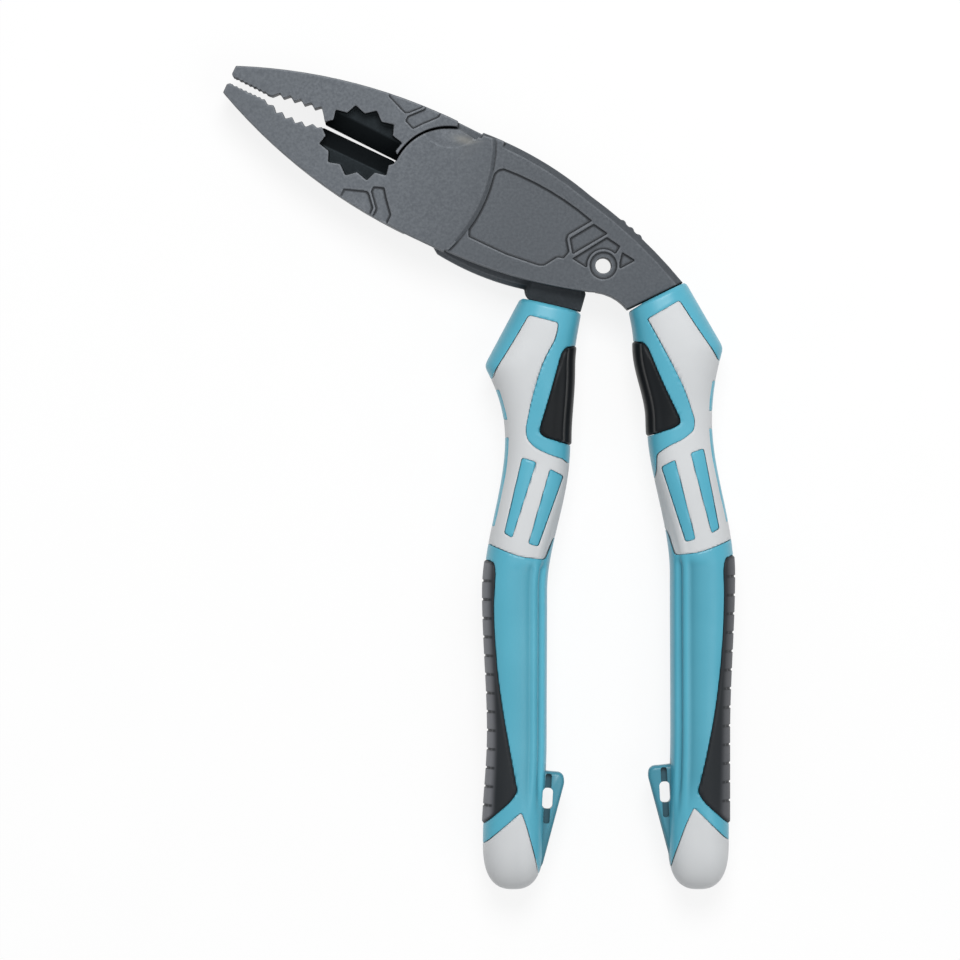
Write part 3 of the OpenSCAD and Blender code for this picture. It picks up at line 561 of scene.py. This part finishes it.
def layer(grip, name, outline, proud, radius, extra=None, holes=(), side_holes=(), more_rings=()):
    """A layer moulded into its pocket, level with the sleeve or proud of it, with rounded borders."""
    def field(a, y, z):
        d = depth(outline, a, y)
        for hole in holes:
            d = np.minimum(d, -depth(hole, a, y))
        for bar in side_holes:
            d = np.minimum(d, -grip.side_bar_depth(bar, a, y, z))
        border = edge_drop(d, radius) * (1 if proud else upward(z))
        return border - proud + (extra(a, y, z) if extra else 0)

    top, bottom = outline[:, 1].max() + 1.5, outline[:, 1].min() - 1.5
    obj = grip.loft(name, grip.rings(top, bottom, more_rings), inset=field)
    boolean(obj, grip.column("zone", outline), "INTERSECT")
    boolean(obj, grip.core(LAYER_D - LAYER_GAP), "DIFFERENCE")
    for hole in holes:
        boolean(obj, grip.column("hole", grown(hole, LAYER_GAP)), "DIFFERENCE")
    for bar in side_holes:
        hole = grown(grip.side_bar_outline(bar), LAYER_GAP)
        boolean(obj, grip.column("hole", hole, SIDE_BAR_HALF + LAYER_GAP), "DIFFERENCE")
    return obj


def notch_heights(grip):
    return PALM_Y + grip.low_lead + 2.3 - NOTCH_PITCH * np.arange(NOTCH_N)


def palm_pad(grip):
    """The notched pad, with a soft ridge beside its notches."""
    marks = notch_heights(grip)

    def notches(a, y, z):
        n = (a - grip.centre(y)) / grip.half_w(y)
        near = np.abs(y[..., None] - marks).min(-1)
        side = ease((n - 0.8) / 0.08)
        ridge = 0.16 * hill(n - 0.7, 0.12) * ease((PALM_Y - 8 - y) / 10)
        return NOTCH_D * side * (1 - ease((near - 0.17) / 0.16)) - ridge

    fine = np.concatenate([marks + s for s in (-0.34, -0.26, -0.17, 0, 0.17, 0.26, 0.34)])
    return layer(grip, "palm_pad", grip.palm(), PAD_PROUD, PAD_ROUND, notches, more_rings=fine)


def palm_tone(grip, co):
    """How light the palm pad is: a lighter strip along its outer edge, held back by painted shade at the
    notches and near the border, and set lighter on one grip than the other as painted light; 0
    elsewhere.
    """
    a, y = (co[:, 0] - MID_X) * grip.side, co[:, 1]
    n = (a - grip.centre(y)) / grip.half_w(y)
    strip = 0.68 - 0.09 * ease((PALM_Y - 20 - y) / 40)
    near = np.abs(y[:, None] - notch_heights(grip)).min(1)
    mark = ease((n - 0.72) / 0.06) * (1 - ease((near - 0.2) / 0.2))
    border = ease((depth(grip.palm(), a, y) - 0.25) / 0.5)
    return PALM_TONE[grip.r] * ease((n - strip) / 0.26) * (1 - 0.9 * mark) * border


def finger_pad(grip):
    """The pad at the waist, with a groove and a ridge along its inner edge."""
    def ridge(a, y, z):
        s = a - grip.edges(y)[0]
        return 0.4 * hill(s - 1.1, 0.6) - 0.34 * hill(s - 2.4, 0.6)

    return layer(grip, "finger_pad", grip.finger(), PAD_PROUD, PAD_ROUND, ridge)


# ---------------------------------------------------------------- finishing of pieces

def finish(obj, name, node, body, material, angle=35):
    """Scales a piece to metres, names it and lets it ride in the node's place."""
    obj.data.transform(Matrix.Scale(MM, 4))
    obj.name = obj.data.name = name
    obj.data.shade_smooth()
    obj.data.set_sharp_from_angle(angle=math.radians(angle))
    obj.data.materials.clear()
    obj.data.materials.append(material)
    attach(obj, body)
    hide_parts(node)


# ---------------------------------------------------------------- materials

class Nodes:
    """A small helper that wires shader nodes."""

    def __init__(self, name):
        self.material = bpy.data.materials.new(name)
        self.material.use_nodes = True
        self.tree = self.material.node_tree
        self.shader = self.tree.nodes["Principled BSDF"]
        self.where = self.add("ShaderNodeTexCoord").outputs["Object"]

    def add(self, kind, **values):
        node = self.tree.nodes.new(kind)
        for key, value in values.items():
            setattr(node, key, value)
        return node

    def link(self, a, b):
        self.tree.links.new(a, b)

    def noise(self, scale, detail=4.0, rough=0.6):
        node = self.add("ShaderNodeTexNoise")
        node.inputs["Scale"].default_value = scale
        node.inputs["Detail"].default_value = detail
        node.inputs["Roughness"].default_value = rough
        self.link(self.where, node.inputs["Vector"])
        return node.outputs["Fac"]

    def span(self, value, low, high, to_low=0.0, to_high=1.0):
        node = self.add("ShaderNodeMapRange")
        for key, v in (("From Min", low), ("From Max", high), ("To Min", to_low), ("To Max", to_high)):
            node.inputs[key].default_value = v
        self.link(value, node.inputs["Value"])
        return node.outputs["Result"]

    def mix(self, factor, a, b):
        node = self.add("ShaderNodeMix", data_type="RGBA")
        for key, v in (("Factor", factor), ("A", a), ("B", b)):
            kind = "VALUE" if key == "Factor" else "RGBA"
            socket = next(s for s in node.inputs if s.name == key and s.type == kind)
            if isinstance(v, bpy.types.NodeSocket):
                self.link(v, socket)
            else:
                socket.default_value = v if key == "Factor" else (*v, 1)
        return next(s for s in node.outputs if s.type == "RGBA")

    def attribute(self, name):
        return self.add("ShaderNodeAttribute", attribute_name=name).outputs["Fac"]

    def bump(self, height, strength, depth):
        node = self.add("ShaderNodeBump")
        node.inputs["Strength"].default_value = strength
        node.inputs["Distance"].default_value = depth
        self.link(height, node.inputs["Height"])
        self.link(node.outputs["Normal"], self.shader.inputs["Normal"])

    def set(self, **values):
        for key, value in values.items():
            self.shader.inputs[key.replace("_", " ")].default_value = value
        return self.material


def steel():
    """Dark grained steel, darker beyond the pivot, with painted highlights on its edges and on uncoated
    steel in the joint plate's scoop, and painted shade in its hollows, in the recess where the steel is
    also black, along the collars and on the low neck.
    """
    m = Nodes("phosphated_steel")
    fine = m.noise(1500, 6, 0.7)
    grain = m.noise(1700, 2, 0.5)
    broad = m.noise(70, 3, 0.5)
    colour = m.mix(m.span(grain, 0.34, 0.66), (0.070, 0.079, 0.091), (0.098, 0.109, 0.122))
    colour = m.mix(m.span(broad, 0.35, 0.65, 0.0, 0.35), colour, (0.080, 0.090, 0.102))
    colour = m.mix(m.span(m.attribute("behind"), 0, 1, 0.0, 0.42), colour, (0.030, 0.035, 0.041))
    # Painted highlight on the convex edges.
    colour = m.mix(m.span(m.attribute("edge"), 0, 1, 0.0, 0.22), colour, (0.25, 0.26, 0.28))
    # Painted highlight on uncoated steel in the joint plate's scoop.
    colour = m.mix(m.span(m.attribute("bare_sheen"), 0, 1, 0.0, 0.6), colour, (0.20, 0.197, 0.18))
    # Painted shade in the hollows of the surface.
    colour = m.mix(m.span(m.attribute("hollow"), 0, 1, 0.0, 0.85), colour, (0.016, 0.018, 0.021))
    # Painted shade in the recess, where the steel is also black, along the collars and on the low neck.
    colour = m.mix(m.attribute("dark"), colour, (0.013, 0.016, 0.018))
    m.link(colour, m.shader.inputs["Base Color"])
    m.link(m.span(fine, 0.3, 0.7, 0.48, 0.62), m.shader.inputs["Roughness"])
    # The steel turns fully metallic under the painted shade, so that it stays black.
    m.link(m.span(m.attribute("dark"), 0, 1, 0.45, 1.0), m.shader.inputs["Metallic"])
    m.bump(fine, 0.10, 0.00012)
    return m.set(Specular_IOR_Level=0.4)


def plastic(name, dark, light, rough, bump_scale, bump_strength, shine=0.4, tone=None, lip=None):
    """A moulded plastic or rubber between two colours; the tone colour, painted shade or a lighter
    strip, and the lip colour, a painted highlight, come in where attributes say so.
    """
    m = Nodes(name)
    broad = m.noise(55, 3, 0.5)
    fine = m.noise(bump_scale, 5, 0.65)
    colour = m.mix(m.span(broad, 0.3, 0.7), dark, light)
    if tone:
        colour = m.mix(m.attribute("tone"), colour, tone)
    if lip:
        colour = m.mix(m.attribute("lip"), colour, lip)
    m.link(colour, m.shader.inputs["Base Color"])
    m.link(m.span(fine, 0.3, 0.7, rough - 0.05, rough + 0.05), m.shader.inputs["Roughness"])
    m.bump(fine, bump_strength, 0.00008)
    return m.set(Specular_IOR_Level=shine)


STEEL = steel()
# On the sleeve, tone is painted shade and lip is a painted highlight.
TURQUOISE = plastic("turquoise_plastic", (0.072, 0.360, 0.482), (0.089, 0.400, 0.527), 0.36, 1400, 0.04,
                    tone=(0.012, 0.075, 0.105), lip=(0.13, 0.53, 0.69))
LIGHT_GREY = plastic("light_grey_rubber", (0.555, 0.572, 0.585), (0.605, 0.622, 0.635), 0.55, 1800, 0.07)
CAP_GREY = plastic("light_grey_plastic", (0.555, 0.572, 0.585), (0.605, 0.622, 0.635), 0.5, 1800, 0.05)
BLACK = plastic("black_rubber", (0.005, 0.006, 0.007), (0.008, 0.010, 0.012), 0.4, 1800, 0.08,
                shine=0.12)
# On the palm pad, tone is its lighter strip, which painted light makes lighter on one grip than on the
# other.
DARK_GREY = plastic("dark_grey_rubber", (0.013, 0.016, 0.019), (0.018, 0.021, 0.024), 0.52, 1800, 0.08,
                    shine=0.16, tone=(0.168, 0.175, 0.193))


# ---------------------------------------------------------------- levers

def set_values(obj, name, values):
    """Gives each point of a mesh a value that a material can read."""
    attribute = obj.data.attributes.new(name, "FLOAT", "POINT")
    attribute.data.foreach_set("value", np.asarray(values, np.float32))


def positions(obj):
    co = np.zeros(len(obj.data.vertices) * 3)
    obj.data.vertices.foreach_get("co", co)
    return co.reshape(-1, 3)


def convexity(obj, times=5):
    """How convex (+) or hollow (-) the surface is round each point."""
    mesh, co = obj.data, positions(obj)
    normal = np.zeros(len(co) * 3)
    mesh.vertices.foreach_get("normal", normal)
    normal = normal.reshape(-1, 3)
    ends = np.zeros(len(mesh.edges) * 2, np.int64)
    mesh.edges.foreach_get("vertices", ends)
    a, b = ends.reshape(-1, 2).T
    count = np.maximum(np.bincount(a, minlength=len(co)) + np.bincount(b, minlength=len(co)), 1)

    def gathered(at_a, at_b):
        return (np.bincount(a, at_a, len(co)) + np.bincount(b, at_b, len(co))) / count

    run = co[b] - co[a]
    run /= np.maximum(np.linalg.norm(run, axis=1), TINY)[:, None]
    value = gathered(-(normal[a] * run).sum(1), (normal[b] * run).sum(1))
    for _ in range(times):
        value = (value + gathered(value[b], value[a])) / 2
    return value


def along_head(co):
    """Places along the head, from the pivot to the tip, and across it; co in millimetres."""
    turn = math.radians(HEAD_ANGLE)
    u = co[:, 0] * math.cos(turn) + co[:, 1] * math.sin(turn)
    return u, -co[:, 0] * math.sin(turn) + co[:, 1] * math.cos(turn)


def recess_dark(co):
    """1 in the toothed recess and between the blades, where the steel is black and painted shade lies
    over it, 0 elsewhere.
    """
    u, v = along_head(co)
    inside = 1 - ease((np.hypot((u - RECESS_U) / RECESS_L, v / RECESS_W) - 1.02) / 0.06)
    face = 2 * HALF_T - TAPER_D * np.clip((u - TAPER_U) / TAPER_L, 0, 1)
    return inside * ease((face - 0.25 - co[:, 2]) / 0.3)


def bare_sheen_spot(co):
    """A painted highlight on uncoated steel beside the joint plate's scoop: 1 there, 0 elsewhere."""
    x, y = co[:, 0] - BARE_SHEEN_X, co[:, 1] - BARE_SHEEN_Y
    spot = hill(np.hypot((x - 0.25 * y) / 2.3, (y + 0.25 * x) / 0.9), 1.0)
    return spot * (co[:, 2] > 2 * HALF_T - 3)


def neck_shadow(co):
    """Painted shadow of the front body, up to 0.8, on the neck that lies low between the front body and
    its grip, 0 elsewhere.
    """
    x, y, z = co.T
    return 0.8 * ease((x - NECK_X) / 4) * ease((NECK_Y - y) / 1.5) * (z < HALF_T + 0.1)


def behind(co):
    """0 on the jaws, rising to 1 beyond the pivot."""
    return ease((DIM_U - along_head(co)[0]) / DIM_L)


def collar_gap(grip, co):
    """Distance above the line where a grip's collar meets its lever."""
    return (co[:, 1] - grip.cut_y((co[:, 0] - MID_X) * grip.side)) * math.cos(math.atan(grip.cut))


def lever(node, grip):
    """The forged lever that carries a grip, with its edges rounded as by tumbling."""
    mesh = NODES[node].data.copy()
    obj = bpy.data.objects.new("lever", mesh)
    bpy.context.scene.collection.objects.link(obj)
    bm = bmesh.new()
    bm.from_mesh(mesh)
    bmesh.ops.remove_doubles(bm, verts=bm.verts, dist=1e-6)
    bm.to_mesh(mesh)
    bm.free()
    mesh.transform(Matrix.Scale(1 / MM, 4))
    remesh = obj.modifiers.new("remesh", "REMESH")
    remesh.mode, remesh.voxel_size = "VOXEL", LEVER_VOXEL
    soften = obj.modifiers.new("soften", "SMOOTH")
    soften.factor, soften.iterations = 0.5, LEVER_SMOOTHING
    apply_modifiers(obj)
    bend = convexity(obj)
    # Convex edges take a painted highlight, and hollows take painted shade.
    hollow = ease((-bend - 0.010) / 0.035)
    set_values(obj, "edge", ease((bend - 0.015) / 0.06))
    set_values(obj, "hollow", hollow)
    flat = obj.vertex_groups.new(name="flat")
    plain = (hollow < 0.02) & (np.abs(collar_gap(grip, positions(obj))) > 1)
    flat.add(np.flatnonzero(plain).tolist(), 1.0, "REPLACE")
    thin = obj.modifiers.new("thin", "DECIMATE")
    thin.ratio, thin.vertex_group, thin.vertex_group_factor = LEVER_KEPT, "flat", 1.0
    apply_modifiers(obj)
    obj.vertex_groups.clear()
    co = positions(obj)
    # Painted shade in the recess, where the steel is also black, and along the line where each collar
    # meets its lever; painted shadow of the front body on the rear lever's low neck.
    dark = np.maximum(recess_dark(co), 1 - ease((collar_gap(grip, co) - 0.25) / 0.45))
    set_values(obj, "dark", np.maximum(dark, neck_shadow(co) * (node == "rear_lever")))
    # A painted highlight on uncoated steel in the front lever's scoop.
    set_values(obj, "bare_sheen", bare_sheen_spot(co) * (node == "front_lever"))
    set_values(obj, "behind", behind(co))
    finish(obj, node + "_forged", node, grip.body, STEEL, 50)
    weighted = obj.modifiers.new("normals", "WEIGHTED_NORMAL")
    weighted.keep_sharp = True


def grip_pieces(grip):
    """The five moulded pieces of a grip."""
    label, body = grip.label, grip.body
    core = sleeve(grip)
    set_values(core, "tone", sleeve_shade(grip, positions(core)))
    set_values(core, "lip", sleeve_lip_highlight(grip, positions(core)))
    finish(core, label + "_sleeve_moulded", label + "_sleeve", body, TURQUOISE)
    shell = layer(grip, "shell", grip.shell(), 0, SHELL_ROUND, lambda a, y, z: crease(grip, a, y),
                  grip.bars(), grip.side_bars())
    finish(shell, label + "_shell_moulded", label + "_soft_shell", body, LIGHT_GREY)
    pad = finger_pad(grip)
    finish(pad, label + "_finger_pad_moulded", label + "_finger_pad", body, BLACK)
    pad = palm_pad(grip)
    set_values(pad, "tone", palm_tone(grip, positions(pad)))
    finish(pad, label + "_palm_pad_moulded", label + "_palm_pad", body, DARK_GREY)
    cap = layer(grip, "cap", grip.cap(), 0, CAP_ROUND)
    finish(cap, label + "_end_cap_moulded", label + "_end_cap", body, CAP_GREY)


grips = [Grip(0), Grip(1)]
lever("rear_lever", grips[0])
lever("front_lever", grips[1])
NODES["pivot_rivet"].data.materials.clear()
NODES["pivot_rivet"].data.materials.append(STEEL)
for grip in grips:
    grip_pieces(grip)


# ---------------------------------------------------------------- stage, light and camera

# The picture: one pixel in metres, and its middle and the pivot in pixels
PIXEL, PICTURE_MID, PIVOT_AT = 0.22 * MM, 480, (448.5, 186.5)
VIEW_X, VIEW_Y = (PICTURE_MID - PIVOT_AT[0]) * PIXEL, (PIVOT_AT[1] - PICTURE_MID) * PIXEL
DISTANCE, SENSOR = 1.6, 36.0

# The stage: half size of the floor and its gap under the object in metres, how much of the floor's white
# is its own, and how much the world lights the object
FLOOR_HALF, FLOOR_GAP, FLOOR_WHITE = 4.0, 0.0004, 0.85
WORLD_LIGHT = 0.36


def seen(tree, low, high):
    """High for rays of the camera, also by way of metal or glass, low for rays that light the object."""
    path = tree.nodes.new("ShaderNodeLightPath")
    value = path.outputs["Is Camera Ray"]
    for name in ("Is Glossy Ray", "Is Transmission Ray"):
        more = tree.nodes.new("ShaderNodeMath")
        more.operation = "MAXIMUM"
        tree.links.new(value, more.inputs[0])
        tree.links.new(path.outputs[name], more.inputs[1])
        value = more.outputs[0]
    span = tree.nodes.new("ShaderNodeMapRange")
    span.inputs["To Min"].default_value, span.inputs["To Max"].default_value = low, high
    tree.links.new(value, span.inputs["Value"])
    return span.outputs["Result"]


def floor():
    """White paper under the object."""
    s, z = FLOOR_HALF, cad_box[0][2] - FLOOR_GAP
    mesh = bpy.data.meshes.new("floor")
    mesh.from_pydata([(-s, -s, z), (s, -s, z), (s, s, z), (-s, s, z)], [], [(0, 1, 2, 3)])
    obj = bpy.data.objects.new("floor", mesh)
    bpy.context.scene.collection.objects.link(obj)
    m = Nodes("floor_paper")
    colour = m.mix(m.span(m.noise(40, 3), 0.3, 0.7), (0.93, 0.93, 0.93), (0.96, 0.96, 0.96))
    m.link(colour, m.shader.inputs["Base Color"])
    m.set(Roughness=0.9, Specular_IOR_Level=0.1)
    white, blend = m.add("ShaderNodeEmission"), m.add("ShaderNodeMixShader")
    m.link(seen(m.tree, 0.0, FLOOR_WHITE), blend.inputs["Fac"])
    m.link(m.shader.outputs["BSDF"], blend.inputs[1])
    m.link(white.outputs["Emission"], blend.inputs[2])
    m.link(blend.outputs["Shader"], m.tree.nodes["Material Output"].inputs["Surface"])
    mesh.materials.append(m.material)


def area_light(name, at, size, power):
    """A white disk of light that points at the object."""
    data = bpy.data.lights.new(name, "AREA")
    data.shape, data.size, data.energy = "DISK", size, power
    obj = bpy.data.objects.new(name, data)
    obj.location = at
    aim = Vector((VIEW_X, VIEW_Y, 0)) - Vector(at)
    obj.rotation_euler = aim.to_track_quat("-Z", "Y").to_euler()
    bpy.context.scene.collection.objects.link(obj)


def world():
    w = bpy.data.worlds.new("studio")
    bpy.context.scene.world = w
    w.use_nodes = True
    background = w.node_tree.nodes["Background"]
    background.inputs["Color"].default_value = (1, 1, 1, 1)
    w.node_tree.links.new(seen(w.node_tree, WORLD_LIGHT, 1.0), background.inputs["Strength"])


def camera():
    """The photograph's view, straight onto the front."""
    data = bpy.data.cameras.new("photo_view")
    data.sensor_width = SENSOR
    data.lens = SENSOR / 2 / (PICTURE_MID * PIXEL / DISTANCE)
    data.clip_start, data.clip_end = 0.1, 20
    obj = bpy.data.objects.new("photo_view", data)
    obj.location = (VIEW_X, VIEW_Y, HALF_T * MM + DISTANCE)
    bpy.context.scene.collection.objects.link(obj)
    bpy.context.scene.camera = obj


floor()
world()
area_light("key", (0.05, 0.52, 1.12), 0.6, 10.7)
area_light("fill", (0.5, -0.3, 0.9), 0.6, 1.6)
camera()
bpy.context.scene.view_settings.view_transform = "Standard"
